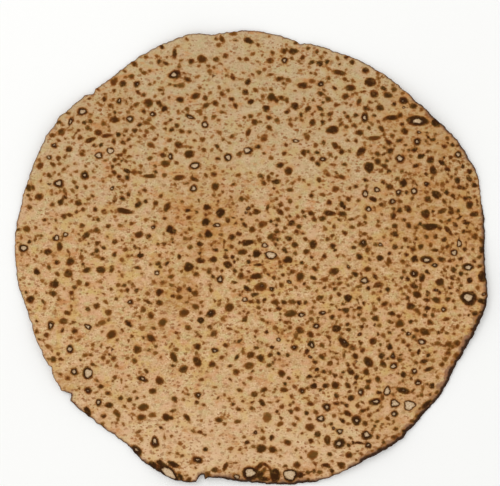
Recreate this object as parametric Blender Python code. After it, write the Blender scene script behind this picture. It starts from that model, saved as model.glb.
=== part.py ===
"""A handmade round matzo: flour and water rolled thin, then baked on a hot stone floor in under a minute.

Sizes and places are in millimetres, and the finished mesh is scaled to metres. The origin is on the
surface that the sheet lies on, under the middle of its plan, with +X along its widest way and +Z up.
"""

import math

import bmesh
import bpy
from mathutils import Vector

MM = 0.001

THICKNESS = 1.9
BAKED_CRUST = (0.571, 0.361, 0.178, 1.0)
CRUST_ROUGHNESS = 0.8

# The torn-round edge of the rolled dough: (heading in degrees from +X, distance from the middle).
RIM = (
    (0, 147.7), (8, 149.6), (14, 150.6), (21, 152.7), (31, 149.2), (38, 145.6),
    (47, 143.6), (58, 143.1), (68, 141.7), (77, 140.7), (84, 142.5), (91, 144.2),
    (99, 143.4), (105, 146.3), (117, 146.1), (129, 144.6), (137, 147.6), (145, 150.2),
    (165, 149.7), (174, 150.8), (185, 149.2), (194, 146.0), (204, 145.6), (218, 146.6),
    (226, 144.0), (236, 142.7), (243, 147.0), (251, 148.7), (257, 146.0), (261, 141.2),
    (267, 141.8), (274, 144.0), (282, 147.0), (290, 147.8), (298, 147.0), (308, 149.1),
    (317, 147.8), (323, 148.5), (332, 146.9), (343, 149.6), (349, 151.8),
)

# Where the edge tore or chipped: (heading, width along the rim, depth).
NICKS = ((44, 9.0, 1.2), (77, 6.0, 1.5), (134, 7.0, 2.0), (209, 8.0, 1.2), (217, 8.0, 3.2), (258, 7.0, 4.8))
NICK_REACH = 18.0  # how far inwards the dough gives way round a nick

# Where steam lifted the sheet off the oven floor: (x, y, height, reach).
LIFTS = (
    (-112, 74, 3.6, 58), (-34, 128, 2.8, 46), (104, 88, 4.2, 60), (140, -26, 3.4, 50), (66, -118, 3.0, 48),
    (-28, -134, 3.8, 46), (-122, -58, 2.6, 50), (-44, 30, 1.8, 40), (56, 10, 1.5, 42), (40, 62, 1.2, 30),
)

# The largest blisters: (x, y, length, width, heading of the length, whether it burst open).
BLISTERS = (
    (-52, -135, 13.0, 8.0, -28, True), (0, -137, 9.5, 8.5, 0, True), (8, -135, 10.0, 8.0, 80, False),
    (25, -138, 9.5, 8.5, 0, True), (-72, -122, 8.5, 6.5, -35, False), (56, -117, 9.0, 8.0, 20, True),
    (72, -112, 7.0, 6.5, 0, True), (67, -102, 8.0, 6.0, -65, True), (100, -93, 8.0, 7.5, 0, True),
    (79, -91, 9.0, 5.0, 0, True), (96, -84, 10.0, 5.0, -15, False), (74, -66, 8.0, 6.0, -60, False),
    (59, -54, 9.0, 5.0, -35, False), (-102, -73, 9.0, 7.0, 75, True), (-34, -66, 8.5, 5.0, -60, False),
    (25, -35, 8.5, 5.0, 12, False), (137, -25, 10.0, 9.0, 0, True), (6, -18, 8.0, 6.0, 0, False),
    (13, 1, 9.0, 6.0, -10, True), (111, -1, 9.0, 5.0, 0, True), (137, -6, 8.0, 5.5, 0, True),
    (113, 19, 11.0, 5.0, 0, False), (117, 40, 8.0, 5.5, -15, False), (75, 57, 7.0, 6.5, 90, False),
    (105, 86, 13.0, 8.0, 0, True), (88, 88, 9.0, 4.5, 0, False), (75, 110, 8.0, 6.0, 0, False),
    (33, 109, 7.5, 5.0, 0, False), (-47, 115, 8.5, 6.0, 0, True), (-35, 58, 8.5, 5.5, 10, True),
    (-80, 29, 11.0, 5.0, -12, False), (-106, 92, 7.0, 6.5, 0, True), (-121, 47, 7.0, 6.5, 0, True),
)
BLISTER_RISE = 0.13  # a blister's height as a share of its width
BLISTER_SKIRT = 1.3  # how far the dough is drawn up round a blister, in blister widths

# How far apart the mesh's points may be.
PLAIN_EDGE = 24.0
LIFTED_EDGE = 12.0
RIM_EDGE = 8.0
NICK_EDGE_SHARE = 0.28  # of the nick's width
BLISTER_EDGE_SHARE = 0.5  # of the blister's width

FINEST_SPLIT = 4  # times that a face is quartered at most

# The rounded edge, from the flat of the sheet outwards: (step out, share of the full thickness there).
RIM_ROUND = ((0.6, 0.65), (0.3, 0.0))
MERGE = 0.00001  # in the unit disc


def rim_slope(index):
    """How fast the rim curve moves outwards at one of its points, per degree."""
    before, after = RIM[index - 1], RIM[(index + 1) % len(RIM)]
    return (after[1] - before[1]) / ((after[0] - before[0]) % 360)


def smooth_rim(heading):
    """The rim's distance from the middle at a heading in degrees, before any nick."""
    index = max(place for place, point in enumerate(RIM) if point[0] <= heading)
    following = (index + 1) % len(RIM)
    gap = (RIM[following][0] - RIM[index][0]) % 360
    along = (heading - RIM[index][0]) / gap
    left = 1 - along
    return (
        (1 + 2 * along) * left**2 * RIM[index][1]
        + (1 + 2 * left) * along**2 * RIM[following][1]
        + gap * along * left**2 * rim_slope(index)
        - gap * along**2 * left * rim_slope(following)
    )


def nick_depth(heading, radius):
    """How deep the nicks cut into the rim at a heading."""
    depth = 0.0
    for middle, width, deep in NICKS:
        aside = math.radians(heading - middle) * radius / (width / 2)
        depth += deep * max(0.0, 1 - aside**2) ** 2
    return depth


def at(heading, distance):
    """The point of the plan at a heading in degrees and a distance from the middle."""
    return Vector((distance * math.cos(math.radians(heading)), distance * math.sin(math.radians(heading)), 0))


def on_sheet(point):
    """Where a point of the unit disc lies in the sheet's plan."""
    heading = math.degrees(math.atan2(point.y, point.x)) % 360
    share = math.hypot(point.x, point.y)
    radius = smooth_rim(heading) - sum(step for step, _ in RIM_ROUND)
    near_rim = min(1.0, max(0.0, 1 - (1 - share) * radius / NICK_REACH))
    return at(heading, share * radius - nick_depth(heading, radius) * near_rim**2)


def inside_blister(spot, blister):
    """0 at a blister's middle, 1 at its edge, and more outside."""
    x, y, length, width, heading, _ = blister
    turn = math.radians(heading)
    along = (spot.x - x) * math.cos(turn) + (spot.y - y) * math.sin(turn)
    across = (spot.y - y) * math.cos(turn) - (spot.x - x) * math.sin(turn)
    return math.hypot(along / (length / 2), across / (width / 2))


def wanted_edge(spot, on_top, on_rim):
    """How long the mesh's edges may be at a place in the plan."""
    edge = RIM_EDGE if on_rim else PLAIN_EDGE
    for x, y, _, reach in LIFTS:
        if math.hypot(spot.x - x, spot.y - y) < reach:
            edge = min(edge, LIFTED_EDGE)
    for heading, width, _ in NICKS:
        away = (spot - at(heading, smooth_rim(heading))).length
        edge = min(edge, max(NICK_EDGE_SHARE * width, away))
    if on_top:
        for blister in BLISTERS:
            if inside_blister(spot, blister) < BLISTER_SKIRT:
                edge = min(edge, BLISTER_EDGE_SHARE * blister[3])
    return edge


def side_of(vertex):
    """1 on the flattened ball's top, -1 on its underside and 0 on the rim between them."""
    facing = {round(face.normal.z) for face in vertex.link_faces}
    return facing.pop() if len(facing) == 1 else 0


def rolled_flat():
    """A ball of dough pressed flat: two sides of the unit disc that share its rim, with even triangles."""
    dough = bmesh.new()
    bmesh.ops.create_icosphere(dough, subdivisions=4, radius=1)
    for vertex in dough.verts:
        height = vertex.co.z
        vertex.co.z = 0
        if vertex.co.length > 0:
            vertex.co = vertex.co.normalized() * math.sqrt(1 - abs(height))
    dough.normal_update()
    return dough


def refine(dough):
    """Splits the faces that are too big for the shape that they will carry, a few times over."""
    for _ in range(FINEST_SPLIT):
        sides = {vertex: side_of(vertex) for vertex in dough.verts}
        too_long = set()
        for face in dough.faces:
            on_top = face.normal.z > 0
            on_rim = sum(sides[vertex] == 0 for vertex in face.verts) == 2
            wanted = wanted_edge(on_sheet(face.calc_center_median()), on_top, on_rim)
            corners = [on_sheet(vertex.co) for vertex in face.verts]
            if max((corners[turn] - corners[turn - 1]).length for turn in range(3)) > wanted:
                too_long.update(face.edges)
        bmesh.ops.subdivide_edges(dough, edges=list(too_long), cuts=1, use_single_edge=True)
        dough.normal_update()
        for vertex in dough.verts:
            if side_of(vertex) == 0:
                vertex.co.normalize()
        bmesh.ops.triangulate(dough, faces=dough.faces[:])
        dough.normal_update()


def round_the_rim(dough):
    """Grows the round edge out of both sides, ring by ring, joins them, and tells how full each ring is."""
    rim = [edge for edge in dough.edges if side_of(edge.verts[0]) == side_of(edge.verts[1]) == 0]
    bmesh.ops.split_edges(dough, edges=rim)
    loops = [edge for edge in dough.edges if edge.is_boundary]
    fullness = {}
    for step, share in RIM_ROUND:
        grown = bmesh.ops.extrude_edge_only(dough, edges=loops)["geom"]
        loops = [part for part in grown if isinstance(part, bmesh.types.BMEdge) and part.is_boundary]
        ring = {vertex for edge in loops for vertex in edge.verts}
        for vertex in ring:
            vertex.co *= 1 + step / RIM[0][1]
            fullness[vertex] = share
    bmesh.ops.remove_doubles(dough, verts=list(ring), dist=MERGE)
    dough.normal_update()
    return {vertex: share for vertex, share in fullness.items() if vertex.is_valid}


def lift(spot):
    """How far steam raised the underside off the oven floor."""
    raised = 0.0
    for x, y, height, reach in LIFTS:
        nearness = max(0.0, 1 - ((spot.x - x) ** 2 + (spot.y - y) ** 2) / reach**2)
        raised += height * nearness**2
    return raised


def relief(spot):
    """How far the blisters stand above the sheet: domes, and raised rings where they burst."""
    raised = 0.0
    for blister in BLISTERS:
        width, burst = blister[3], blister[5]
        outwards = min(1.0, inside_blister(spot, blister) / BLISTER_SKIRT)
        if burst:
            shape = math.sin(math.pi * outwards**2)
        else:
            shape = 0.5 + 0.5 * math.cos(math.pi * outwards)
        raised = max(raised, BLISTER_RISE * width * shape)
    return raised


def shape_sheet(dough, fullness):
    """Moves both sides of the disc into the sheet's plan, and gives them their height."""
    sides = {vertex: side_of(vertex) for vertex in dough.verts}
    half = THICKNESS / 2
    for vertex, side in sides.items():
        vertex.co = on_sheet(vertex.co)
        spot = vertex.co.copy()
        vertex.co.z = lift(spot) + half + side * half * fullness.get(vertex, 1.0)
        if side > 0:
            vertex.co.z += relief(spot)


def centre_in_plan(dough):
    """Puts the origin under the middle of the plan's bounding box."""
    for axis in (0, 1):
        places = [vertex.co[axis] for vertex in dough.verts]
        middle = (min(places) + max(places)) / 2
        for vertex in dough.verts:
            vertex.co[axis] -= middle


def baked_crust():
    """Pale wheat dough, baked dry and matt."""
    material = bpy.data.materials.new("baked_crust")
    material.use_nodes = True
    shader = material.node_tree.nodes["Principled BSDF"]
    shader.inputs["Base Color"].default_value = BAKED_CRUST
    shader.inputs["Roughness"].default_value = CRUST_ROUGHNESS
    shader.inputs["Metallic"].default_value = 0.0
    return material


def matzo_sheet():
    """The whole sheet, one closed piece."""
    dough = rolled_flat()
    refine(dough)
    fullness = round_the_rim(dough)
    shape_sheet(dough, fullness)
    centre_in_plan(dough)
    bmesh.ops.triangulate(dough, faces=dough.faces[:])
    bmesh.ops.scale(dough, vec=(MM, MM, MM), verts=dough.verts)
    mesh = bpy.data.meshes.new("matzo_sheet")
    dough.to_mesh(mesh)
    dough.free()
    mesh.shade_smooth()
    mesh.materials.append(baked_crust())
    return bpy.data.objects.new("matzo_sheet", mesh)


for leftover in list(bpy.data.objects):
    bpy.data.objects.remove(leftover)
bpy.context.scene.collection.objects.link(matzo_sheet())
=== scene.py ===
"""A handmade round matzo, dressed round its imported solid: dough, blisters, crust and the table it lies on."""

import math

import bmesh
import bpy
import numpy as np
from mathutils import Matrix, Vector, noise
from mathutils.bvhtree import BVHTree
from mathutils.kdtree import KDTree


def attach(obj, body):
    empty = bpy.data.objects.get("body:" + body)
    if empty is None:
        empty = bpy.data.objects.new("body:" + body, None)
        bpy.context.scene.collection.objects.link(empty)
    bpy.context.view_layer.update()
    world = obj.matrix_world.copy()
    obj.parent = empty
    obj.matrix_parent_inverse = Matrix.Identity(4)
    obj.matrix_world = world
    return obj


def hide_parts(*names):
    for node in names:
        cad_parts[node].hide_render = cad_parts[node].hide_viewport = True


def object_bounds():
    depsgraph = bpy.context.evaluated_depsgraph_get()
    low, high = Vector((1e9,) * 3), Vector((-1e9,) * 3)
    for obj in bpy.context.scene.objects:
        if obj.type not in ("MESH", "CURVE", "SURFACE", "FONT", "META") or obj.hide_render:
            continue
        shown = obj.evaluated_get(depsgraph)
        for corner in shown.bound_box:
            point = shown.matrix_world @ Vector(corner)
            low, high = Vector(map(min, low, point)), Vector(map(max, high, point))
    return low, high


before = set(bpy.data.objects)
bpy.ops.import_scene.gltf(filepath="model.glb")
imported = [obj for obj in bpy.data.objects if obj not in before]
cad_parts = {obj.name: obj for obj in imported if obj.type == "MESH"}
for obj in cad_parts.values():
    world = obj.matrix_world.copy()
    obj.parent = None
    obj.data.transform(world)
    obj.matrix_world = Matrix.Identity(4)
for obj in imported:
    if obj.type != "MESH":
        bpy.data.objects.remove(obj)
cad_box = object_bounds()


# ---------------------------------------------------------------------------------------------------
# The rolled dough. One ball of flour and water, rolled by hand to a thin uneven round and thrown on a
# hot oven floor, where steam lifts it in places. It starts as a ball that is pressed flat, so that both
# sides meet at the rim, and takes its outline and its waves from the solid.

MM = 0.001
SEAM = 0.001  # the solid's corners nearer than this are one
THICKNESS = 1.9
BALL_SPLITS = 7
RIM_BANDS = (2.6, 0.9)  # how far inside the rim the mesh is finer, and finer again
RIM_ROUND = ((0.45, 0.75), (0.3, 0.0))  # (step outwards, share of the thickness there)
MEETING = 0.0001  # the two sides' last rings lie nearer than this
WAVE_SMOOTHINGS = 40
TEARS = ((1.6, 0.32), (3.4, 0.6), (9.0, 0.6))  # (pitch, depth) of the torn rim's teeth and chips
TORN_OFF = 0.4  # the share of each depth that is torn away all round
BITE_HEADING, BITE_HALF_WIDTH, BITE_DEPTH = 257.35, 2.5, 3.6  # the one small piece broken out
BITE_SHOULDERS = (257.0, 258.6)  # where the bite stands in place of the solid's plainer nick
TEAR_FADE, BITE_FADE = 40, 12  # how fast they fade inwards, as powers of the share of the way out
BITE_SIDES, BITE_FOOT = 4, 1.5  # powers that make its sides steep and round their feet

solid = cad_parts["matzo_sheet"]


def outline_of(part):
    """The headings in degrees and the distances in millimetres of the solid's rim, but for the bite's."""
    merged = bmesh.new()
    merged.from_mesh(part.data)
    bmesh.ops.remove_doubles(merged, verts=merged.verts, dist=SEAM * MM)
    merged.normal_update()
    rim = {}
    for edge in merged.edges:
        if edge.link_faces[0].normal.z * edge.link_faces[1].normal.z < 0:
            for vertex in edge.verts:
                heading = math.degrees(math.atan2(vertex.co.y, vertex.co.x)) % 360
                rim[heading] = math.hypot(vertex.co.x, vertex.co.y) / MM
    merged.free()
    first, last = BITE_SHOULDERS
    headings = sorted(heading for heading in rim if not first < heading < last)
    return np.array(headings), np.array([rim[heading] for heading in headings])


rim_headings, rim_distances = outline_of(solid)
edge_round = sum(step for step, _ in RIM_ROUND)


def rim_distance(heading):
    """The rim's distance from the middle at a heading in degrees."""
    return np.interp(heading, rim_headings, rim_distances, period=360)


def torn(heading):
    """How far the rim stands out or in at a heading, as torn and chipped dough."""
    turn = math.radians(heading)
    place = Vector((math.cos(turn), math.sin(turn), 0)) * rim_distance(heading)
    return sum(depth * (noise.noise(place / pitch) - TORN_OFF) for pitch, depth in TEARS)


def bitten(heading):
    """How deep the bite is at a heading: steep sides and a round bottom."""
    aside = math.radians(heading - BITE_HEADING) * rim_distance(heading) / BITE_HALF_WIDTH
    return BITE_DEPTH * max(0.0, 1 - aside**BITE_SIDES) ** BITE_FOOT


# The ball is pressed to two discs that share their rim, with their faces about equal.
dough = bmesh.new()
bmesh.ops.create_icosphere(dough, subdivisions=BALL_SPLITS, radius=1)
for vertex in dough.verts:
    height = vertex.co.z
    vertex.co.z = 0
    if vertex.co.length > 0:
        vertex.co = vertex.co.normalized() * math.sqrt(1 - abs(height))
dough.normal_update()
above = dough.faces.layers.int.new("above")
for face in dough.faces:
    face[above] = face.normal.z > 0


def on_rim(part):
    """Whether a point or an edge joins the top to the underside."""
    return len({face[above] for face in part.link_faces}) == 2


for band in RIM_BANDS:
    inner = 1 - band / rim_distances.mean()
    near_rim = [edge for edge in dough.edges if min(end.co.length for end in edge.verts) > inner]
    bmesh.ops.subdivide_edges(dough, edges=near_rim, cuts=1, use_single_edge=True)
    for vertex in dough.verts:
        if vertex.co.length > inner and on_rim(vertex):
            vertex.co.normalize()
    bmesh.ops.triangulate(dough, faces=dough.faces[:])

# The discs take the outline, torn and bitten, and lie as high as the solid's underside.
floor_of_solid = BVHTree.FromPolygons(
    [vertex.co / MM for vertex in solid.data.vertices],
    [face.vertices for face in solid.data.polygons],
)
UP = Vector((0, 0, 1))
for vertex in dough.verts:
    share = vertex.co.length
    heading = math.degrees(math.atan2(vertex.co.y, vertex.co.x)) % 360
    reworked = torn(heading) * share**TEAR_FADE - bitten(heading) * share**BITE_FADE
    flat = rim_distance(heading) + reworked - edge_round
    turn = math.radians(heading)
    vertex.co = Vector((math.cos(turn), math.sin(turn), 0)) * share * flat
    inside = vertex.co * (1 - edge_round / flat)
    hit = floor_of_solid.ray_cast(inside - UP, UP)[0]
    vertex.co.z = hit.z if hit else 0.0
for _ in range(WAVE_SMOOTHINGS):
    bmesh.ops.smooth_vert(dough, verts=dough.verts, factor=0.5, use_axis_z=True)


# ---------------------------------------------------------------------------------------------------
# The blisters. Steam under the skin raises bubbles that the oven browns first, and the thinnest burst
# and leave a dark ring round a pale floor. The large ones stand where the solid has them, others where
# this sheet shows them, and the small rest are strewn, thicker where it lay nearest the fire.

# Burst: (x, y, length, width, heading of the length, how dark, the pale floor's share of the width).
BURST = (
    (-52.4, -135.1, 17.0, 7.6, -31, 1.0, 0.57), (0.3, -136, 11.0, 9.4, 0, 1.0, 0.52),
    (25.3, -137.4, 10.0, 8.6, 0, 1.0, 0.66), (137.3, -25.5, 10.8, 9.6, 0, 1.0, 0.46),
    (12.8, 1.3, 8.5, 5.5, -10, 0.9, 0.62), (56, -117, 8.0, 7.0, 20, 0.9, 0.3),
    (72.8, -112, 7.0, 6.2, 0, 0.9, 0.42), (66.7, -102.3, 7.5, 5.8, -65, 0.9, 0.25),
    (48, -94.2, 6.0, 5.5, 0, 0.9, 0.3), (44.2, -101.5, 5.5, 5.0, 0, 0.9, 0.45),
    (100.2, -93.2, 7.5, 7.0, 0, 0.8, 0.74), (91, -92, 6.0, 6.0, 0, 0.8, 0.62),
    (90.8, -98.5, 5.0, 4.6, 0, 0.9, 0.35), (78.7, -91, 8.5, 4.8, 5, 0.9, 0.3),
    (96.5, -84, 10.0, 4.2, -15, 0.8, 0.2), (86.3, -84.2, 6.5, 5.0, 70, 0.8, 0.6),
    (69.8, -84.9, 5.5, 4.2, 90, 0.8, 0.35), (105.8, -78.8, 5.0, 4.5, 0, 0.8, 0.4),
    (103.3, -72, 4.6, 4.2, 0, 0.7, 0.45), (90.5, -68.3, 5.5, 5.0, 0, 0.8, 0.4),
    (90, -62, 5.0, 3.8, 90, 0.8, 0.3), (74.4, -66, 7.5, 5.5, -60, 0.8, 0.15),
    (58.9, -53.6, 9.0, 5.0, -38, 0.9, 0.15), (108, -53, 6.5, 4.2, -8, 0.8, 0.45),
    (41.6, -43.1, 5.5, 4.0, -10, 0.9, 0.35), (45.5, -35, 5.0, 3.0, 0, 0.9, 0.35),
    (121.9, -32.6, 3.8, 3.8, 0, 0.7, 0.35), (-60.3, -116.5, 7.5, 6.0, 90, 0.8, 0.35),
    (-72, -122, 8.0, 6.5, -35, 0.9, 0.22), (-33.5, -127.2, 8.0, 4.5, -15, 0.8, 0.25),
    (-102.7, -72.8, 9.0, 6.5, 70, 0.8, 0.6), (-111, -72, 5.5, 5.0, 0, 0.8, 0.4),
    (-113.6, -57.6, 5.8, 5.0, 90, 0.9, 0.42), (-125.8, -42.8, 6.0, 4.5, 80, 0.8, 0.35),
    (-102.5, -83.8, 5.5, 4.5, -30, 0.8, 0.2), (-95.8, -91.5, 5.5, 4.0, 80, 0.8, 0.35),
    (-68.3, -76.6, 7.5, 4.0, -15, 0.8, 0.3), (-25, -35.3, 6.5, 5.0, 25, 0.9, 0.18),
    (-22.5, -58.6, 4.8, 3.8, 0, 0.8, 0.3), (-3.5, -26.6, 4.2, 3.4, 0, 0.6, 0.5),
    (6.5, -18.5, 8.0, 6.0, 0, 0.5, 0.15), (-19.2, -13.8, 5.5, 5.0, 90, 0.8, 0.4),
    (9, 7.7, 4.5, 3.5, 0, 0.8, 0.5), (-35, 58, 8.0, 5.0, 10, 0.8, 0.5),
    (-36, 43.5, 5.0, 5.0, 0, 0.8, 0.45), (-1.5, 67.5, 6.0, 5.5, 0, 0.8, 0.5),
    (-14.3, 63.3, 5.5, 5.5, 0, 0.8, 0.45), (-28.7, 84, 5.0, 5.0, 0, 0.8, 0.45),
    (-47.5, 115.3, 8.5, 6.0, 0, 0.9, 0.35), (105, 86, 14.0, 7.0, 0, 0.9, 0.38),
    (72, 88.3, 7.0, 5.0, 90, 0.8, 0.3), (94.3, 62.2, 6.5, 6.0, 0, 0.8, 0.45),
    (103.3, 42, 5.0, 5.0, 0, 0.8, 0.45), (89.5, 35.3, 4.5, 4.5, 0, 0.8, 0.4),
    (72.3, 40.3, 5.0, 5.0, 0, 0.8, 0.45), (74.3, 30.7, 5.0, 4.0, 0, 0.8, 0.4),
    (71, 9, 5.5, 5.5, 0, 0.8, 0.2), (131.7, 9, 6.0, 3.5, 90, 0.9, 0.5),
    (128.3, 3.2, 5.5, 4.5, 0, 0.9, 0.5), (111, -1.3, 9.0, 5.0, 0, 0.8, 0.35),
    (137, -5.8, 8.0, 5.0, 0, 0.9, 0.45), (103.3, -10, 6.0, 5.0, 0, 0.9, 0.2),
    (72, -14.3, 6.5, 5.0, 0, 0.8, 0.45), (-106, 92, 6.5, 6.0, 0, 0.8, 0.45),
    (-113, 86, 6.0, 3.5, 65, 0.8, 0.4), (-76, 87.4, 5.5, 5.0, 0, 0.7, 0.4),
    (-95.4, 64.4, 5.0, 5.0, 0, 0.8, 0.5), (-88.3, 67.4, 5.5, 4.0, 0, 0.7, 0.6),
    (-120.7, 46.7, 6.5, 6.0, 0, 0.8, 0.45), (-104.3, 51.7, 6.0, 5.5, 0, 0.8, 0.25),
    (-122.8, 12.3, 4.5, 4.5, 0, 0.8, 0.5), (-143.5, 5.8, 6.5, 5.5, 0, 0.8, 0.5),
    (-75.8, -28.2, 4.0, 3.6, 0, 0.8, 0.35), (-8.8, -138.0, 4.4, 4.0, 0, 0.8, 0.55),
    (-71.7, 109.5, 4.6, 4.4, 0, 0.85, 0.2), (44.4, 109.8, 4.6, 4.0, 0, 0.9, 0.3),
    (96.2, 98.8, 6.0, 5.0, 0, 0.95, 0.2), (104.9, 73, 5.6, 5.0, 0, 0.9, 0.28),
    (130.8, 64.8, 5.2, 5.0, 0, 0.8, 0.4), (93.6, 41, 4.6, 4.4, 0, 0.8, 0.4),
    (27.7, -57, 4.6, 4.2, 0, 0.8, 0.15), (32.5, -84.1, 4.6, 4.2, 0, 0.75, 0.2),
    (-33.2, -86.8, 4.6, 4.2, 0, 0.75, 0.2),
)
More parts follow.
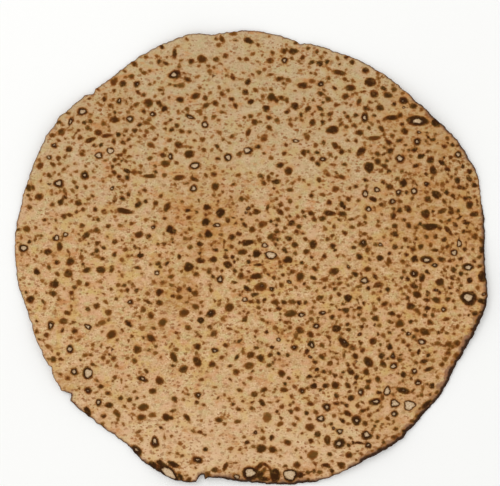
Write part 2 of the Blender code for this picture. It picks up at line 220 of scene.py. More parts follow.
# Whole: (x, y, length, width, heading of the length, how dark).
WHOLE = (
    (5.6, -131.4, 7.0, 3.2, 38, 0.8), (9.9, -131.0, 5.5, 2.4, -38, 0.85),
    (12.6, -134.2, 5.5, 1.8, -75, 0.9), (5.6, -136.6, 6.5, 5.0, 20, 0.95),
    (8.6, -134.0, 4.5, 3.2, 60, 0.45), (8.5, -139.6, 8.0, 3.2, 0, 0.95),
    (15.6, -137.6, 9.0, 7.5, 80, 1.0), (31.6, -137, 5.0, 4.0, 90, 1.0),
    (-61.5, -130.8, 7.0, 4.4, -30, 1.0), (-57, -129.5, 5.0, 4.0, -20, 1.0),
    (-48.5, -130.3, 8.5, 3.6, -22, 1.0), (-44, -138, 6.5, 3.0, -55, 1.0),
    (6.8, -120.5, 6.5, 6.0, 0, 0.75), (14, -121.2, 5.5, 4.5, -20, 0.75),
    (-15.8, -131.5, 6.5, 3.0, 60, 0.7), (-22.3, -133.6, 4.6, 3.6, 0, 0.7),
    (29.3, -131, 4.6, 4.6, 0, 0.65), (57.3, -130.8, 5.5, 4.5, 0, 0.7),
    (-102.8, -97.5, 8.0, 4.0, -65, 1.0), (-89.5, -93.2, 5.5, 4.2, 0, 0.8),
    (37.5, -107, 6.0, 5.2, 0, 0.55), (10.6, -101, 6.5, 5.2, 70, 0.35),
    (-33.6, -65.8, 8.0, 4.8, -60, 0.75), (-48.5, -63, 8.0, 4.0, -60, 0.65),
    (-1, -68.3, 6.5, 4.6, 0, 0.5), (6.3, -63.5, 5.5, 4.5, -30, 0.8), (0, -61.5, 5.5, 4.5, 10, 0.65),
    (25.4, -35.4, 8.0, 5.0, 12, 0.6), (26.3, -28, 5.0, 3.4, 0, 0.6), (54.2, -44.8, 6.5, 4.8, 0, 0.9),
    (94.2, -41.8, 6.0, 5.0, 20, 0.6), (110, -46.9, 7.0, 4.6, -25, 0.7), (-42, -35, 7.0, 4.8, 25, 0.55),
    (-13.3, -31.5, 6.0, 5.5, -20, 0.65), (-87.6, -48.6, 7.0, 5.0, 30, 0.6),
    (-118, -40, 5.5, 4.5, 0, 0.55), (-93.8, -41, 5.2, 3.2, 5, 0.4), (-57.5, -77.8, 5.5, 5.2, 0, 0.65),
    (3.5, -11.8, 9.0, 4.0, 0, 0.8), (23.5, -1.5, 6.5, 4.5, 0, 0.9), (4, 2.5, 6.0, 5.0, 20, 1.0),
    (-5, 3.5, 6.5, 4.0, 0, 0.7), (-26.7, 14.8, 5.5, 5.5, 0, 1.0), (-28, 22.5, 6.0, 5.0, 30, 1.0),
    (-19, 28.3, 6.0, 6.0, 0, 1.0), (-22.3, 44.7, 5.5, 5.0, 90, 0.7), (24, 54.7, 5.5, 5.5, 0, 0.75),
    (-79.5, 29.3, 11.0, 4.0, -12, 0.8), (-70.5, 14.5, 6.5, 4.0, 20, 0.7),
    (-52.5, 32, 7.0, 4.0, 60, 0.7), (-123.8, -16.8, 6.0, 5.5, 0, 0.8), (-115, -10, 5.5, 5.5, 0, 0.7),
    (-120.5, 7, 6.0, 4.0, 90, 0.7), (-133.3, 38.3, 5.5, 4.5, 0, 0.7), (-119, 79, 5.0, 4.5, 0, 0.7),
    (-95.8, 78.6, 5.0, 4.5, 0, 0.7), (-64.5, 97.5, 6.5, 5.5, 0, 0.7), (-30.5, 125, 6.0, 5.5, 0, 0.7),
    (-1.3, 137, 7.0, 4.0, -20, 0.9), (33, 108.7, 7.0, 4.5, 0, 0.8), (-38.7, 65.3, 7.0, 5.0, 0, 0.8),
    (75.5, 110.5, 8.0, 6.0, 0, 0.9), (88.7, 88, 9.0, 3.5, 0, 0.9), (81.5, 94.3, 5.5, 4.0, 0, 0.8),
    (74.8, 57, 7.0, 6.5, 90, 0.9), (117.3, 39.7, 7.0, 5.0, -15, 0.9), (110.5, 27.5, 6.0, 6.0, 0, 0.8),
    (113.5, 19.5, 11.0, 4.5, 0, 0.9), (125, 17, 8.0, 3.0, -50, 0.8), (90, 26.3, 5.0, 4.0, 90, 0.8),
    (108.3, -12.7, 6.0, 4.0, 90, 0.9), (146, -12, 7.0, 6.0, 90, 1.0), (146, 5, 5.0, 4.0, 90, 1.0),
    (79, -38.5, 5.0, 4.0, 0, 0.7), (-47.8, 128.5, 7.0, 3.2, 90, 0.8), (-34.7, 102, 6.5, 4.0, 20, 0.75),
    (-80.5, 109.7, 4.6, 4.4, 0, 0.85), (-85.7, 86.8, 7.0, 4.0, 5, 0.75),
    (-53.8, 59.3, 6.0, 4.4, 0, 0.6), (-63.8, 51.4, 9.0, 3.0, 0, 0.6), (-45, 50.4, 8.0, 3.6, 10, 0.65),
    (-35.7, 49.5, 6.0, 3.0, -20, 0.7), (-108.6, 34.4, 5.0, 4.0, 0, 0.7),
    (-27.4, 31.6, 5.0, 4.4, 0, 0.9), (-11.7, 12.9, 5.0, 4.0, 0, 0.85),
    (-104, 13.9, 6.2, 4.0, 45, 0.75), (-128, 3.5, 5.5, 4.5, 0, 0.85), (-141.3, 18.1, 5.0, 4.2, 0, 0.5),
    (26.9, 130.2, 7.0, 4.0, -5, 0.8), (12.4, 124.4, 4.5, 4.0, 0, 0.65),
    (56.1, 116.7, 8.0, 3.6, -10, 0.7), (63, 107, 7.0, 4.5, -10, 0.75), (60, 101.6, 5.0, 4.0, 20, 0.7),
    (77.8, 103.1, 5.5, 5.0, 0, 0.85), (86.5, 102.3, 6.0, 4.0, -15, 0.8),
    (116.4, 84.7, 6.5, 5.0, -40, 1.0), (51.8, 80.6, 8.0, 5.6, 15, 0.85),
    (39.2, 85.4, 5.0, 4.0, 70, 0.75), (28, 95.5, 5.5, 5.0, 0, 0.9), (10, 94.2, 5.0, 4.5, 0, 0.9),
    (69.8, 67, 8.0, 4.5, 35, 0.9), (77.8, 75.2, 9.0, 3.0, 5, 0.55), (68.7, 78.9, 5.5, 4.0, 0, 0.75),
    (96.8, 79.5, 5.5, 4.0, -35, 0.8), (88, 67, 5.0, 4.0, 20, 0.9), (113.5, 61.5, 5.0, 5.0, 0, 0.85),
    (115.2, 55, 7.0, 4.5, -70, 0.85), (99.4, 30.8, 6.0, 4.0, -45, 0.85),
    (138.4, 33.4, 5.0, 5.0, 0, 0.85), (141.3, 27.5, 6.0, 4.0, 10, 0.8),
    (39.5, 8.5, 6.0, 5.0, 70, 0.85), (28, 8, 5.0, 4.0, 0, 0.75), (49.7, 28, 8.0, 4.0, -5, 0.85),
    (57.9, 27.5, 6.0, 4.0, 0, 0.75), (-1.9, 9.5, 8.0, 4.5, 10, 0.9), (3.7, 29, 5.0, 4.0, 0, 0.75),
    (-113.8, -2.5, 6.0, 5.0, 60, 0.75), (-103.5, -8, 6.0, 3.5, 5, 0.75),
    (-94.4, -7.7, 6.0, 5.0, 0, 0.75), (-38.9, -6, 7.0, 6.0, 20, 0.85),
    (-31.5, -1.8, 6.0, 4.0, -10, 0.85), (-23.5, -1.2, 5.5, 4.0, 0, 0.8),
    (-14.3, -4.5, 6.0, 5.0, 0, 0.85), (-57.6, -21.8, 5.0, 4.5, 0, 0.85),
    (-57.6, -28.6, 4.5, 4.0, 0, 0.7), (-55.5, -41, 6.5, 4.5, 40, 0.5),
    (-62.8, -51, 7.0, 4.5, -25, 0.75), (-71.5, -58, 5.5, 5.2, 0, 0.65),
    (-33.6, -56.2, 5.0, 4.5, 0, 0.8), (-42.4, -70.5, 6.5, 4.4, 15, 0.75),
    (-24.2, -67.4, 5.0, 4.0, 35, 0.7), (-67.6, -94.5, 7.0, 5.0, 10, 0.55),
    (-69, -100.8, 6.0, 4.0, 0, 0.6), (-61.7, -84.3, 5.0, 4.0, 0, 0.65),
    (-20, -102.4, 5.0, 4.0, -20, 0.7), (-138.8, -26.4, 5.5, 5.0, 60, 0.85),
    (31.4, -12.2, 6.2, 5.0, 80, 0.7), (52.7, -8.7, 6.5, 5.0, 20, 0.7),
    (80.8, -17.3, 7.0, 3.5, 10, 0.7), (119.3, -15.5, 6.0, 5.0, 30, 0.8),
    (105.1, -23.3, 6.0, 4.5, -40, 0.8), (101, -30.6, 5.5, 5.0, 0, 0.85),
    (117.2, -26.8, 6.0, 4.0, -25, 0.7), (77.2, -52.8, 5.0, 5.0, 0, 0.8),
    (66.2, -62.2, 4.5, 4.0, 0, 0.8), (63.1, -71.8, 6.0, 4.0, -50, 0.85),
    (53.7, -80.5, 5.5, 5.0, 0, 0.8), (82.9, -61.8, 4.4, 4.2, 0, 1.0),
    (48.5, -114.9, 7.0, 4.0, 90, 0.7), (39.2, -124.3, 7.0, 5.6, 20, 0.4),
    (62, -124.3, 5.0, 4.0, 0, 0.75), (-45, -20.2, 4.2, 3.6, 30, 0.7), (-45, -25, 4.4, 3.6, -20, 0.6),
    (-35, -22.7, 4.6, 3.8, 15, 0.6), (-34.6, -31, 5.0, 4.0, -10, 0.5),
    (-34.2, -10.6, 4.2, 3.2, 0, 0.6), (-26.2, -8.5, 4.2, 3.6, 40, 0.7),
    (-64.8, -22.7, 3.6, 3.0, 0, 0.45), (-55.4, -15.8, 4.0, 3.0, 20, 0.4),
    (-23, 52.5, 4.4, 3.8, 0, 0.7),
)
# Strewn: (how many, least width, largest width, how many in ten burst).
STREWN = ((15, 4.6, 5.6, 1.0), (190, 3.6, 4.6, 0.7), (535, 2.6, 3.6, 0.35), (900, 1.5, 2.6, 0.05))
# Where they crowd: (x, y, reach, how much more than elsewhere).
CROWDED = (
    (120, 52, 40, 1.3), (120, -2, 36, 1.0), (62, -62, 40, 0.75), (65, -108, 34, 0.6), (112, -55, 28, 0.4),
    (0, 0, 32, 0.95), (-75, 70, 45, 0.3), (65, 115, 40, 0.5), (0, 55, 40, -0.15), (-30, -100, 60, -0.22),
)
SPARSE_SHARE = 0.27
CLOSEST = 0.56  # of two blisters' sizes together
RIM_MARGIN = 2.0  # how far from the rim the strewn ones keep
STRETCH = 0.18  # how much longer than wide they come
LIE, LIE_SPREAD = -10, 35  # the heading of their lengths
PLAIN_DARKNESS, DARKNESS_SPREAD = 0.38, 0.2
DARKER_BY_SIZE, DARKER_BY_CROWDING = 0.075, 0.2
LEAST_DARKNESS = 0.12  # for each millimetre of size
BURST_DARKNESS = 0.8  # the least of a burst one
BURST_FLOORS = (0.22, 0.48)  # the pale floor's least and largest share of the width
COMPANIONS = 0.2  # the share that ran into a smaller one beside it
COMPANION_SIZES, COMPANION_GAPS = (0.45, 0.75), (0.45, 0.7)  # shares of the larger one's size
COMPANION_LIE_SPREAD = 60
SEED = 18
BLISTER_REACH = 3.5  # how far from a blister its edge still counts
WORKED_MARGIN = 0.8  # how far round a blister the mesh is finer

chance = np.random.default_rng(SEED)


def crowding(x, y):
    """How readily the dough blisters at a place, from SPARSE_SHARE to 1."""
    extra = 0.0
    for centre_x, centre_y, reach, more in CROWDED:
        extra += more * math.exp(-((x - centre_x) ** 2 + (y - centre_y) ** 2) / reach**2)
    return min(1.0, SPARSE_SHARE + extra * (1 - SPARSE_SHARE))


def somewhere():
    """A chance place on the sheet, evenly spread."""
    turn = chance.uniform(0, 2 * math.pi)
    distance = math.sqrt(chance.uniform(0, 1)) * (rim_distance(math.degrees(turn)) - RIM_MARGIN)
    return distance * math.cos(turn), distance * math.sin(turn)


blisters = [*BURST, *(blister + (0.0,) for blister in WHOLE)]
taken = np.full((len(blisters) + sum(group[0] for group in STREWN), 3), np.inf)
taken[: len(blisters)] = [(x, y, math.sqrt(length * width)) for x, y, length, width, *_ in blisters]
placed = len(blisters)
for how_many, narrowest, widest, burst_in_ten in STREWN:
    wanted = placed + how_many
    while placed < wanted:
        x, y = somewhere()
        size = chance.uniform(narrowest, widest)
        others = taken[:placed]
        gaps = np.hypot(others[:, 0] - x, others[:, 1] - y) - CLOSEST * (others[:, 2] + size)
        if gaps.min() < 0 or chance.uniform() > crowding(x, y):
            continue
        taken[placed] = x, y, size
        placed += 1
        stretch = math.exp(abs(chance.normal(0, STRETCH)))
        heading = chance.normal(LIE, LIE_SPREAD)
        usual = PLAIN_DARKNESS + DARKER_BY_SIZE * size + DARKER_BY_CROWDING * crowding(x, y)
        darkness = min(1.0, max(LEAST_DARKNESS * size, chance.normal(usual, DARKNESS_SPREAD)))
        floor_share = 0.0
        if chance.uniform(0, 10) < burst_in_ten:
            floor_share, darkness = chance.uniform(*BURST_FLOORS), max(darkness, BURST_DARKNESS)
        blisters.append((x, y, size * stretch, size / stretch, heading, darkness, floor_share))
        if floor_share == 0 and chance.uniform() < COMPANIONS:
            aside = math.radians(chance.normal(LIE, COMPANION_LIE_SPREAD))
            beside = size * chance.uniform(*COMPANION_GAPS)
            x, y = x + beside * math.cos(aside), y + beside * math.sin(aside)
            smaller = size * chance.uniform(*COMPANION_SIZES)
            blisters.append((x, y, smaller * stretch, smaller / stretch, heading, darkness, 0.0))


def tree_of(points):
    """A search tree of places on the sheet."""
    tree = KDTree(len(points))
    for index, (x, y) in enumerate(points):
        tree.insert((x, y, 0), index)
    tree.balance()
    return tree


def across_blister(blister, tree, margin):
    """The points near a blister, with how far out and at which bearing each lies: 1 is the blister's edge."""
    x, y, length, width, heading = blister[:5]
    found = tree.find_range((x, y, 0), length / 2 + margin)
    near = np.array([index for _, index, _ in found], int)
    offsets = np.array([(place.x - x, place.y - y) for place, _, _ in found]).reshape(-1, 2)
    turn = math.radians(heading)
    along = offsets @ (math.cos(turn), math.sin(turn)) / (length / 2)
    aside = offsets @ (-math.sin(turn), math.cos(turn)) / (width / 2)
    return near, np.hypot(along, aside), np.arctan2(aside, along)


# The mesh is finer under the blisters.
on_top = [face for face in dough.faces if face[above]]
centre_tree = tree_of([face.calc_center_median()[:2] for face in on_top])
worked = np.zeros(len(on_top), bool)
for blister in blisters:
    near, reach, _ = across_blister(blister, centre_tree, WORKED_MARGIN)
    worked[near] |= reach < 1 + WORKED_MARGIN / blister[3]
fine = dict.fromkeys(edge for face, is_worked in zip(on_top, worked) if is_worked for edge in face.edges)
bmesh.ops.subdivide_edges(dough, edges=list(fine), cuts=1, use_single_edge=True)
bmesh.ops.triangulate(dough, faces=dough.faces[:])

# The two sides part at the rim, grow a round edge ring by ring, and join again. A point's swell is 1 on
# the top, -1 on the underside, and 0 where they meet.
swell = dough.verts.layers.float.new("swell")
bmesh.ops.split_edges(dough, edges=[edge for edge in dough.edges if on_rim(edge)])
for vertex in dough.verts:
    vertex[swell] = 1 if vertex.link_faces[0][above] else -1
loops = [edge for edge in dough.edges if edge.is_boundary]
for step, share in RIM_ROUND:
    grown = bmesh.ops.extrude_edge_only(dough, edges=loops)["geom"]
    loops = [part for part in grown if isinstance(part, bmesh.types.BMEdge) and part.is_boundary]
    for vertex in dict.fromkeys(end for edge in loops for end in edge.verts):
        neighbours = [edge.other_vert(vertex) for edge in vertex.link_edges]
        inner = max(neighbours, key=lambda end: abs(end[swell]))
        vertex[swell] = math.copysign(share, inner[swell])
        flat_place = Vector((vertex.co.x, vertex.co.y, 0))
        vertex.co += flat_place.normalized() * step
last_ring = list(dict.fromkeys(end for edge in loops for end in edge.verts))
bmesh.ops.remove_doubles(dough, verts=last_ring, dist=MEETING)
bmesh.ops.triangulate(dough, faces=dough.faces[:])

sheet_mesh = bpy.data.meshes.new("matzo_crust")
dough.to_mesh(sheet_mesh)
dough.free()

point_count = len(sheet_mesh.vertices)
places = np.empty(point_count * 3, np.float32)
sheet_mesh.vertices.foreach_get("co", places)
places = places.reshape(-1, 3).astype(float)
swells = np.empty(point_count, np.float32)
sheet_mesh.attributes["swell"].data.foreach_get("value", swells)
plan = places[:, :2].copy()
plan_tree = tree_of(plan)

# How far each point lies from the nearest blister's edge and from a burst one's floor, in millimetres.
FAR = 9.0
BUBBLE_RISE = 0.15  # of its width
BUBBLE_FOOT = 1.15  # how far out it starts to rise
UNROUND = 0.09  # the most that its edge swings in and out, as a share of its radius
LIP_RISE, LIP_WIDTH = 0.13, 0.28  # the ring round a burst one's floor
CRATER = 0.25  # how deep its floor sinks
CRATER_SLOPE = 0.3  # the least share of the radius that its sides slope over
OFF_CENTRE = 0.14  # how far its hole stands off its middle
FLOOR_LOBES, FINER_LOBES = 0.34, 0.6  # how ragged the hole's edge is, in threes and in fives


def blister_fields(strewn, wobble):
    """For every point: distance outside the nearest blister, its darkness, its floor's distance and rise."""
    outside = np.full(point_count, FAR)
    darkness = np.zeros(point_count)
    outside_floor = np.full(point_count, FAR)
    rise = np.zeros(point_count)
    for blister in strewn:
        length, width, _, dark, floor_share = blister[2:]
        near, reach, bearing = across_blister(blister, plan_tree, BLISTER_REACH)
        threes, twos = wobble.uniform(0, UNROUND), wobble.uniform(0, UNROUND)
        phase = wobble.uniform(0, 2 * math.pi)
        swing = threes * np.cos(3 * bearing + phase) + twos * np.cos(2 * bearing + 2 * phase)
        reach = reach / (1 + swing)
        radius = math.sqrt(length * width) / 2
        from_edge = (reach - 1) * radius
        nearest = from_edge < outside[near]
        chosen = near[nearest]
        outside[chosen] = from_edge[nearest]
        darkness[chosen] = dark
        outside_floor[chosen] = FAR
        if floor_share > 0:
            shift_along, shift_aside = wobble.normal(0, OFF_CENTRE * (1 - floor_share), 2)
            along, aside = reach * np.cos(bearing) - shift_along, reach * np.sin(bearing) - shift_aside
            lobes = np.cos(3 * bearing + 3 * phase) + FINER_LOBES * np.cos(5 * bearing + phase)
            in_floor = np.hypot(along, aside) / (1 + FLOOR_LOBES / radius * lobes)
            outside_floor[chosen] = ((in_floor - floor_share) * radius)[nearest]
            lip = np.exp(-(((reach - (1 + floor_share) / 2) / LIP_WIDTH) ** 2))
            sunken = np.clip(1 - in_floor / max(floor_share, CRATER_SLOPE), 0, 1) ** 0.5
            height = LIP_RISE * width * lip - CRATER * sunken
        else:
            swollen = np.clip(BUBBLE_FOOT - reach, 0, 1)
            height = BUBBLE_RISE * width * np.sin(swollen * math.pi / 2)
        higher = np.abs(height) > np.abs(rise[near])
        rise[near[higher]] = height[higher]
    return outside, darkness, outside_floor, rise


outside, darkness, outside_floor, rise = blister_fields(blisters, chance)

# The underside lay on the oven floor: flatter, broader scorches, and no bubbles.
SCORCHES = 420
SCORCH_SIZES, SCORCH_STRETCH = (2.4, 6.5), 0.2
SCORCH_DARKNESS = (0.15, 0.75)
scorches = []
for _ in range(SCORCHES):
    size, stretch = chance.uniform(*SCORCH_SIZES), math.exp(abs(chance.normal(0, SCORCH_STRETCH)))
    heading, dark = chance.uniform(0, 180), chance.uniform(*SCORCH_DARKNESS)
    scorches.append((*somewhere(), size * stretch, size / stretch, heading, dark, 0.0))
under_outside, under_darkness, under_floor, _ = blister_fields(scorches, chance)

top = np.clip(swells, 0, 1)
under = np.clip(-swells, 0, 1)
is_under = swells < 0
outside = np.where(is_under, under_outside, outside)
darkness = np.where(is_under, under_darkness, darkness)
outside_floor = np.where(is_under, under_floor, outside_floor)

# The skin itself is uneven: slow hollows between the bubbles, and the grain of coarse flour.
HOLLOW_PITCH, HOLLOW_DEPTH = 11.0, 0.35
PUCKER_PITCH, PUCKER_DEPTH = 3.0, 0.14
UNDER_DIMPLE = 0.25
ROLLED_PITCH, ROLLED_SHARE = 38.0, 0.35  # the rolling leaves some of it thicker
ELSEWHERE, YET_ELSEWHERE = Vector((7, 1, 0)), Vector((3, 9, 0))  # so that the three differ
skin = np.empty(point_count)
rolled = np.empty(point_count)
for index, (x, y) in enumerate(plan):
    spot = Vector((x, y, 0))
    rolled[index] = 1 + ROLLED_SHARE * noise.noise(spot / ROLLED_PITCH + ELSEWHERE)
    hollow = HOLLOW_DEPTH * noise.noise(spot / HOLLOW_PITCH)
    skin[index] = hollow + PUCKER_DEPTH * noise.noise(spot / PUCKER_PITCH + YET_ELSEWHERE)

places[:, 2] += THICKNESS * rolled / 2 + swells * THICKNESS * rolled / 2
places[:, 2] += top * (rise + skin)
places[:, 2] += under * (UNDER_DIMPLE * np.clip(skin / HOLLOW_DEPTH, 0, 1))
highest = cad_box[1][2] / MM
places[:, 2] = np.clip(places[:, 2], 0, highest)

headings = np.degrees(np.arctan2(plan[:, 1], plan[:, 0])) % 360
rim_tree = tree_of(plan[swells == 0])
inside_rim = np.array([rim_tree.find((x, y, 0))[2] for x, y in plan])

sheet_mesh.vertices.foreach_set("co", (places * MM).astype(np.float32).ravel())
sheet_mesh.update()
sheet_mesh.shade_smooth()


# ---------------------------------------------------------------------------------------------------
# The crust. Baked unleavened dough is dry and matt: pale tan, mottled by flour and bran, golden where
# the heat was strongest, dark brown on the bubbles and charred black along the rim.

# Golden patches: (x, y, reach, strength).
TOASTED = (
    (-90, 91, 22, 0.55), (-28, 26, 34, 0.75), (118, 25, 36, 0.9), (105, 78, 34, 0.85), (80, -6, 26, 0.4),
    (-62, -35, 26, 0.2), (-118, -80, 12, 0.8), (86, -112, 20, 0.6), (3, -105, 12, 0.3), (135, -60, 22, 0.5),
    (45, 95, 30, 0.3), (-10, -138, 16, 0.5), (120, 20, 90, 0.42), (-20, 120, 70, 0.22),
    (108, -70, 38, 0.5), (55, -55, 40, 0.3), (-45, -22, 15, 1.05), (-60, -40, 12, 0.6),
    (8, -135, 6, 2.0), (20, 62, 40, 0.25),
)
# Char along the rim: (from heading, to heading, how far in).
CHARRED = (
    (297, 349, 2.2), (349, 372, 1.3), (20, 44, 1.0), (44, 62, 0.5), (62, 128, 0.4), (128, 215, 0.35),
    (215, 238, 0.7), (238, 262, 1.2), (262, 286, 1.9), (286, 297, 0.8),
)
PLAIN_CHAR = 0.4
CHAR_FADE = 5.0  # degrees over which one stretch gives way to the next

toast = np.zeros(point_count)
for x, y, reach, strength in TOASTED:
    toast = np.maximum(toast, strength * np.exp(-((plan - (x, y)) ** 2).sum(axis=1) / reach**2))
char = np.full(point_count, PLAIN_CHAR)
for start, end, depth in CHARRED:
    past_middle = np.abs((headings - (start + end) / 2 + 180) % 360 - 180)
    weight = np.clip(((end - start) / 2 - past_middle) / CHAR_FADE + 0.5, 0, 1)
    char += weight * (depth - PLAIN_CHAR)

baked_fields = {
    "outside_mm": outside,
    "darkness": darkness,
    "outside_floor_mm": outside_floor,
    "inside_rim_mm": inside_rim,
    "toast": toast,
    "char_mm": char,
}
for name, values in baked_fields.items():
    sheet_mesh.attributes.new(name, "FLOAT", "POINT").data.foreach_set("value", values.astype(np.float32))


def linear(hex_colour):
    """An sRGB hex colour as linear red, green, blue and alpha."""
    parts = [int(hex_colour[start : start + 2], 16) / 255 for start in (1, 3, 5)]
    shares = [part / 12.92 if part <= 0.04045 else ((part + 0.055) / 1.055) ** 2.4 for part in parts]
    return (*shares, 1.0)


# Baked dough is starch, dry and rough, so it shows its own colours with hardly any gloss.
crust = bpy.data.materials.new("baked_unleavened_dough")
crust.use_nodes = True
nodes, links = crust.node_tree.nodes, crust.node_tree.links


def add(kind, inputs, **settings):
    """Adds a node of a kind with its settings, and gives each of its inputs a value or a link."""
    made = nodes.new("ShaderNode" + kind)
    for name, value in settings.items():
        setattr(made, name, value)
    for name, value in inputs.items():
        if isinstance(value, bpy.types.NodeSocket):
            links.new(value, made.inputs[name])
        else:
            made.inputs[name].default_value = value
    return made


FIRST, SECOND, THIRD = 0, 1, 2  # a Math node's sockets
FACTOR, UNDER, OVER, MIXED = 0, 6, 7, 2  # a colour Mix node's sockets


def coat(under, colour, measure, starts, full, most=1.0, share=None):
    """Lays a colour over what is under it, from none where a measure starts to the most where it is full.

    A share, where one is given, thins the colour further.
    """
    ends = {"Value": measure, "From Min": starts, "From Max": full, "To Max": most}
    cover = add("MapRange", ends, interpolation_type="SMOOTHSTEP").outputs[0]
    if share is not None:
        cover = add("Math", {FIRST: cover, SECOND: share}, operation="MULTIPLY").outputs[0]
    return add("Mix", {FACTOR: cover, UNDER: under, OVER: colour}, data_type="RGBA").outputs[MIXED]


ROLLING_TURN, ROLLING_SCALE = 0.2, (0.72, 1.25, 1.0)  # patches are longer across the rolling
object_place = add("TexCoord", {}).outputs["Object"]
in_mm = add("Mapping", {"Vector": object_place, "Scale": (1 / MM, 1 / MM, 1 / MM)}).outputs["Vector"]
rolled_lie = {"Vector": in_mm, "Rotation": (0, 0, ROLLING_TURN), "Scale": ROLLING_SCALE}
along_rolling = add("Mapping", rolled_lie).outputs["Vector"]
towards_far_side = add("SeparateXYZ", {"Vector": in_mm}).outputs["Y"]
field = {name: add("Attribute", {}, attribute_name=name).outputs["Fac"] for name in baked_fields}

# Patches: (what they lie along, size in millimetres, detail, roughness). The flour's grain and the pits
# are drawn coarser than real ones, so that they show.
PATCHES = {
    "cloud": (in_mm, 26.0, 3.0, 0.6),
    "mottle": (along_rolling, 3.4, 3.0, 0.6),
    "hue": (along_rolling, 4.4, 2.0, 0.5),
    "broad_hue": (in_mm, 8.5, 2.0, 0.6),
    "grain": (in_mm, 0.95, 2.0, 0.7),
    "smudge": (along_rolling, 3.0, 4.0, 0.65),
    "wisp": (along_rolling, 9.0, 5.0, 0.72),
    "flecked": (along_rolling, 16.0, 2.0, 0.6),
    "ragged": (in_mm, 1.8, 3.0, 0.65),
    "uneven": (in_mm, 5.0, 2.0, 0.6),
    "baked_mottle": (in_mm, 1.8, 2.0, 0.6),
    "bitty": (in_mm, 1.5, 2.0, 0.6),
    "pit": (in_mm, 0.5, 3.0, 0.65),
}
patch = {}
patch_colour = {}
for name, (place, size, detail, roughness) in PATCHES.items():
    shape = {"Vector": place, "Scale": 1 / size, "Detail": detail, "Roughness": roughness}
    patch[name], patch_colour[name] = add("TexNoise", shape).outputs
hue = add("SeparateColor", {"Color": patch_colour["hue"]}).outputs
broad_hue = add("SeparateColor", {"Color": patch_colour["broad_hue"]}).outputs

# Swings that keep edges from being clean: (patches, how far they swing, about what), in millimetres but
# for the char's share.
SWINGS = {
    "fleck_edge": ("grain", 1.7, 0.0),
    "blister_edge": ("ragged", 2.2, 0.0),
    "floor_edge": ("bitty", 1.6, 0.0),
    "char_share": ("uneven", 1.6, 1.0),
}
swing = {}
for name, (patches, width, middle) in SWINGS.items():
    about_middle = {FIRST: patch[patches], SECOND: width, THIRD: middle - width / 2}
    swing[name] = add("Math", about_middle, operation="MULTIPLY_ADD").outputs[0]

# The pale crumb's coats, laid one over another: (measure, where it starts, where it is full, the most
# that covers, colour).
CRUMB = linear("#BE9766")
CRUMB_COATS = (
    (patch["mottle"], 0.32, 0.64, 1.0, "#D9B68A"),
    # Rosy and straw mottling a few millimetres across.
    (hue["Red"], 0.46, 0.66, 0.85, "#D09E72"),
    (hue["Green"], 0.46, 0.66, 0.95, "#C5AC77"),
    # The grain of the flour, dark and light.
    (patch["grain"], 0.48, 0.27, 0.8, "#A67C4E"),
    (patch["grain"], 0.53, 0.72, 0.75, "#EACEA4"),
    # Broad straw and rosy clouds, alike in brightness.
    (broad_hue["Red"], 0.5, 0.66, 0.6, "#CBA65E"),
    (broad_hue["Green"], 0.5, 0.66, 0.5, "#D6A682"),
    # Greyer towards the far side and paler towards the near side.
    (towards_far_side, -30.0, 110.0, 0.45, "#ACA283"),
    (towards_far_side, -50.0, -140.0, 0.45, "#DFBE98"),
)
crumb = CRUMB
for measure, starts, full, most, colour in CRUMB_COATS:
    crumb = coat(crumb, linear(colour), measure, starts, full, most)

# Golden toasting over the hot patches, broken up by the mottling, with smudges there and wisps anywhere.
GOLDEN, SMUDGED, WISPY = linear("#B27C3E"), linear("#A06A28"), linear("#BC7E49")
hot = add("Math", {FIRST: field["toast"], SECOND: patch["cloud"]}, operation="MULTIPLY").outputs[0]
broken = {"Value": patch["mottle"], "From Min": 0.66, "From Max": 0.34, "To Min": 0.35, "To Max": 1.0}
between_mottles = add("MapRange", broken, interpolation_type="SMOOTHSTEP").outputs[0]
crumb = coat(crumb, GOLDEN, hot, 0.05, 0.42, 0.62, between_mottles)
smudges = {"Value": patch["smudge"], "From Min": 0.52, "From Max": 0.64}
smudged = add("MapRange", smudges, interpolation_type="SMOOTHSTEP").outputs[0]
crumb = coat(crumb, SMUDGED, hot, 0.06, 0.4, 0.75, smudged)
crumb = coat(crumb, WISPY, patch["wisp"], 0.52, 0.7, 0.8)

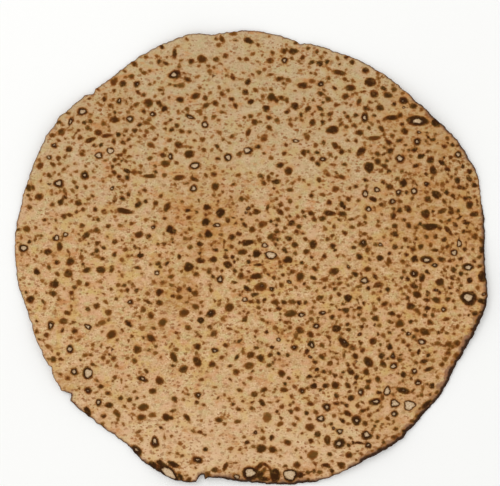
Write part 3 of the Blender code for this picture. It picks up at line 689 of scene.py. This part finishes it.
# Small flecks, where bran or a pinprick of steam scorched: three sizes, longer across the rolling.
FLECKS = (  # (spacing, least and greatest radius, strength, tint), in millimetres
    (5.0, 0.2, 1.3, 0.95, "#87501F"),
    (3.3, -0.2, 0.95, 0.9, "#8C5224"),
    (2.2, -0.25, 0.6, 0.9, "#96592A"),
)
FLECK_EDGE = 0.3
FLECKS_APART = (17.0, 5.0)  # sets each size's pattern off from the last
FLECK_TURN, FLECK_SCALE = 0.15, (0.8, 1.2, 0.0)
FLECK_SCATTER = 0.8
FAINTEST = 0.5
gathered = {"Value": patch["flecked"], "From Min": 0.35, "From Max": 0.6, "To Min": 0.4, "To Max": 1.0}
flecked = add("MapRange", gathered, interpolation_type="SMOOTHSTEP").outputs[0]
for order, (spacing, least, greatest, strength, brown) in enumerate(FLECKS):
    shift = (order * FLECKS_APART[0], FLECKS_APART[1], 0.0)
    lie = {"Vector": in_mm, "Location": shift, "Rotation": (0, 0, FLECK_TURN), "Scale": FLECK_SCALE}
    place = add("Mapping", lie).outputs["Vector"]
    scatter = {"Vector": place, "Scale": 1 / spacing, "Randomness": FLECK_SCATTER}
    cell = add("TexVoronoi", scatter, voronoi_dimensions="2D").outputs
    pick = add("SeparateColor", {"Color": cell["Color"]}).outputs
    radius = add("MapRange", {"Value": pick["Red"], "To Min": least, "To Max": greatest}).outputs[0]
    away = {FIRST: cell["Distance"], SECOND: spacing, THIRD: swing["fleck_edge"]}
    from_middle = add("Math", away, operation="MULTIPLY_ADD").outputs[0]
    from_edge = add("Math", {FIRST: from_middle, SECOND: radius}, operation="SUBTRACT").outputs[0]
    faint = add("MapRange", {"Value": pick["Green"], "To Min": FAINTEST, "To Max": 1.0}).outputs[0]
    share = add("Math", {FIRST: faint, SECOND: flecked}, operation="MULTIPLY").outputs[0]
    crumb = coat(crumb, linear(brown), from_edge, FLECK_EDGE, -FLECK_EDGE, strength, share)

# The rim's scorch: soft and everywhere, deeper where it faced the fire.
SCORCH, SCORCH_REACH = linear("#80543E"), 1.9  # times as deep as the char
RIM_RAGGED = 0.5  # as much as a blister's edge
unevenly_charred = {FIRST: field["char_mm"], SECOND: swing["char_share"]}
char_depth = add("Math", unevenly_charred, operation="MULTIPLY").outputs[0]
ragged_rim = {FIRST: swing["blister_edge"], SECOND: RIM_RAGGED, THIRD: field["inside_rim_mm"]}
from_rim = add("Math", ragged_rim, operation="MULTIPLY_ADD").outputs[0]
scorched = {FIRST: char_depth, SECOND: -SCORCH_REACH, THIRD: from_rim}
past_scorch = add("Math", scorched, operation="MULTIPLY_ADD").outputs[0]
crumb = coat(crumb, SCORCH, past_scorch, 0.9, -0.9, 0.75)

# Blisters: a ragged edge in a halo of toasting, browner inwards, as dark as each one baked.
HALO, FIRST_BROWN = linear("#BB8548"), linear("#925C26")
BROWN, DARK, BLACK = linear("#8A5418"), linear("#663804"), linear("#402202")
RUSTY, OLIVE, CORE, LIT = linear("#7A3C18"), linear("#5A4A1C"), linear("#381C02"), linear("#7C5424")
ragged_edge = {FIRST: field["outside_mm"], SECOND: swing["blister_edge"]}
edge = add("Math", ragged_edge).outputs[0]
crumb = coat(crumb, HALO, edge, 2.4, 0.2, 0.28)
crumb = coat(crumb, FIRST_BROWN, edge, 0.55, -0.15, 0.85)
baked = BROWN
for colour, starts, full in ((DARK, 0.3, 0.75), (BLACK, 0.75, 1.0)):
    ends = {"Value": field["darkness"], "From Min": starts, "From Max": full}
    share = add("MapRange", ends).outputs[0]
    baked = add("Mix", {FACTOR: share, UNDER: baked, OVER: colour}, data_type="RGBA").outputs[MIXED]
baked = coat(baked, RUSTY, hue["Red"], 0.44, 0.6, 0.5)
baked = coat(baked, OLIVE, hue["Green"], 0.44, 0.6, 0.5)
baked = coat(baked, CORE, edge, -0.25, -1.5, 1.0, field["darkness"])
baked = coat(baked, LIT, patch["baked_mottle"], 0.52, 0.7, 0.45)
bubble = {"Value": edge, "From Min": 0.15, "From Max": -0.65}
in_bubble = add("MapRange", bubble, interpolation_type="SMOOTHSTEP").outputs[0]
as_baked = {"Value": field["darkness"], "From Max": 0.5, "To Min": 0.6, "To Max": 1.0}
full_strength = add("MapRange", as_baked).outputs[0]
bubbled = add("Math", {FIRST: in_bubble, SECOND: full_strength}, operation="MULTIPLY").outputs[0]
crumb = add("Mix", {FACTOR: bubbled, UNDER: crumb, OVER: baked}, data_type="RGBA").outputs[MIXED]

# Burst ones: a near-black line round a pale floury floor, duller where the floor is narrow.
FLOOR_LINE, FLOOR, FLOURY, DULL = linear("#341A06"), linear("#BC9E78"), linear("#DCC4A4"), linear("#A28057")
ragged_floor = {FIRST: field["outside_floor_mm"], SECOND: swing["floor_edge"]}
floor_edge = add("Math", ragged_floor).outputs[0]
crumb = coat(crumb, FLOOR_LINE, floor_edge, 1.3, 0.4, 0.7)
floor = coat(FLOOR, FLOURY, patch["grain"], 0.35, 0.65)
floor = coat(floor, DULL, floor_edge, -1.1, 0.2, 0.72)
crumb = coat(crumb, floor, floor_edge, 0.25, -0.25)

# The rim's char lies over all.
CHAR = linear("#2E1C12")
past_char = add("Math", {FIRST: from_rim, SECOND: char_depth}, operation="SUBTRACT").outputs[0]
crumb = coat(crumb, CHAR, past_char, 0.8, -0.9, 0.95)

# A floury, pitted skin, with the browned bubbles a little smoother.
GLOSS = 0.07
DRY_ROUGHNESS, BUBBLE_ROUGHNESS = 0.85, 0.65
PIT_STRENGTH, PIT_DEPTH = 0.35, 0.25
bump = add("Bump", {"Height": patch["pit"], "Strength": PIT_STRENGTH, "Distance": PIT_DEPTH * MM})
dryness = {"Value": bubbled, "To Min": DRY_ROUGHNESS, "To Max": BUBBLE_ROUGHNESS}
dullness = add("MapRange", dryness).outputs[0]

shader = nodes["Principled BSDF"]
links.new(crumb, shader.inputs["Base Color"])
links.new(dullness, shader.inputs["Roughness"])
links.new(bump.outputs["Normal"], shader.inputs["Normal"])
shader.inputs["Specular IOR Level"].default_value = GLOSS

sheet_mesh.materials.append(crust)
matzo = bpy.data.objects.new("matzo_crust", sheet_mesh)
bpy.context.scene.collection.objects.link(matzo)
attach(matzo, "root")
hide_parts("matzo_sheet")


# ---------------------------------------------------------------------------------------------------
# The table and the light. The sheet lies on a plain board painted matt white, in a white room, under one
# broad soft light from the far left, and is seen from straight above.

TABLE_SIZE = 3.0
TABLE_GAP = 0.02  # in millimetres, below the sheet
ROOM_LIGHT = 0.86
SOFTBOX_SIZE, SOFTBOX_WATTS = 1.2, 6.5
SOFTBOX_PLACE = (-0.7, 0.7, 1.5)
LENS, SENSOR = 100.0, 36.0
VIEW_WIDTH = 0.3165
VIEW_CENTRE = (-0.0003, 0.0092)

table = bmesh.new()
bmesh.ops.create_grid(table, x_segments=1, y_segments=1, size=TABLE_SIZE)
bmesh.ops.translate(table, verts=table.verts, vec=(0, 0, -TABLE_GAP * MM))
table_mesh = bpy.data.meshes.new("table")
table.to_mesh(table_mesh)
table.free()

# Matt white paint: it throws back nearly all the light and shows no gloss.
white_paint = bpy.data.materials.new("white_painted_board")
white_paint.use_nodes = True
paint = white_paint.node_tree.nodes["Principled BSDF"]
paint.inputs["Base Color"].default_value = linear("#FAFAF8")
paint.inputs["Roughness"].default_value = 0.9
table_mesh.materials.append(white_paint)
table_top = bpy.data.objects.new("table", table_mesh)
bpy.context.scene.collection.objects.link(table_top)

world = bpy.data.worlds.new("white_room")
bpy.context.scene.world = world
world.use_nodes = True
world.node_tree.nodes["Background"].inputs["Color"].default_value = (1, 1, 1, 1)
world.node_tree.nodes["Background"].inputs["Strength"].default_value = ROOM_LIGHT

softbox = bpy.data.lights.new("softbox", "AREA")
softbox.shape = "DISK"
softbox.size = SOFTBOX_SIZE
softbox.energy = SOFTBOX_WATTS
softbox_object = bpy.data.objects.new("softbox", softbox)
softbox_object.location = SOFTBOX_PLACE
softbox_object.rotation_euler = (-softbox_object.location).to_track_quat("-Z", "Y").to_euler()
bpy.context.scene.collection.objects.link(softbox_object)

lens = bpy.data.cameras.new("overhead")
lens.lens = LENS
lens.sensor_width = SENSOR
camera = bpy.data.objects.new("overhead", lens)
camera.location = (*VIEW_CENTRE, VIEW_WIDTH * LENS / SENSOR)
bpy.context.scene.collection.objects.link(camera)
bpy.context.scene.camera = camera
bpy.context.scene.view_settings.view_transform = "Standard"
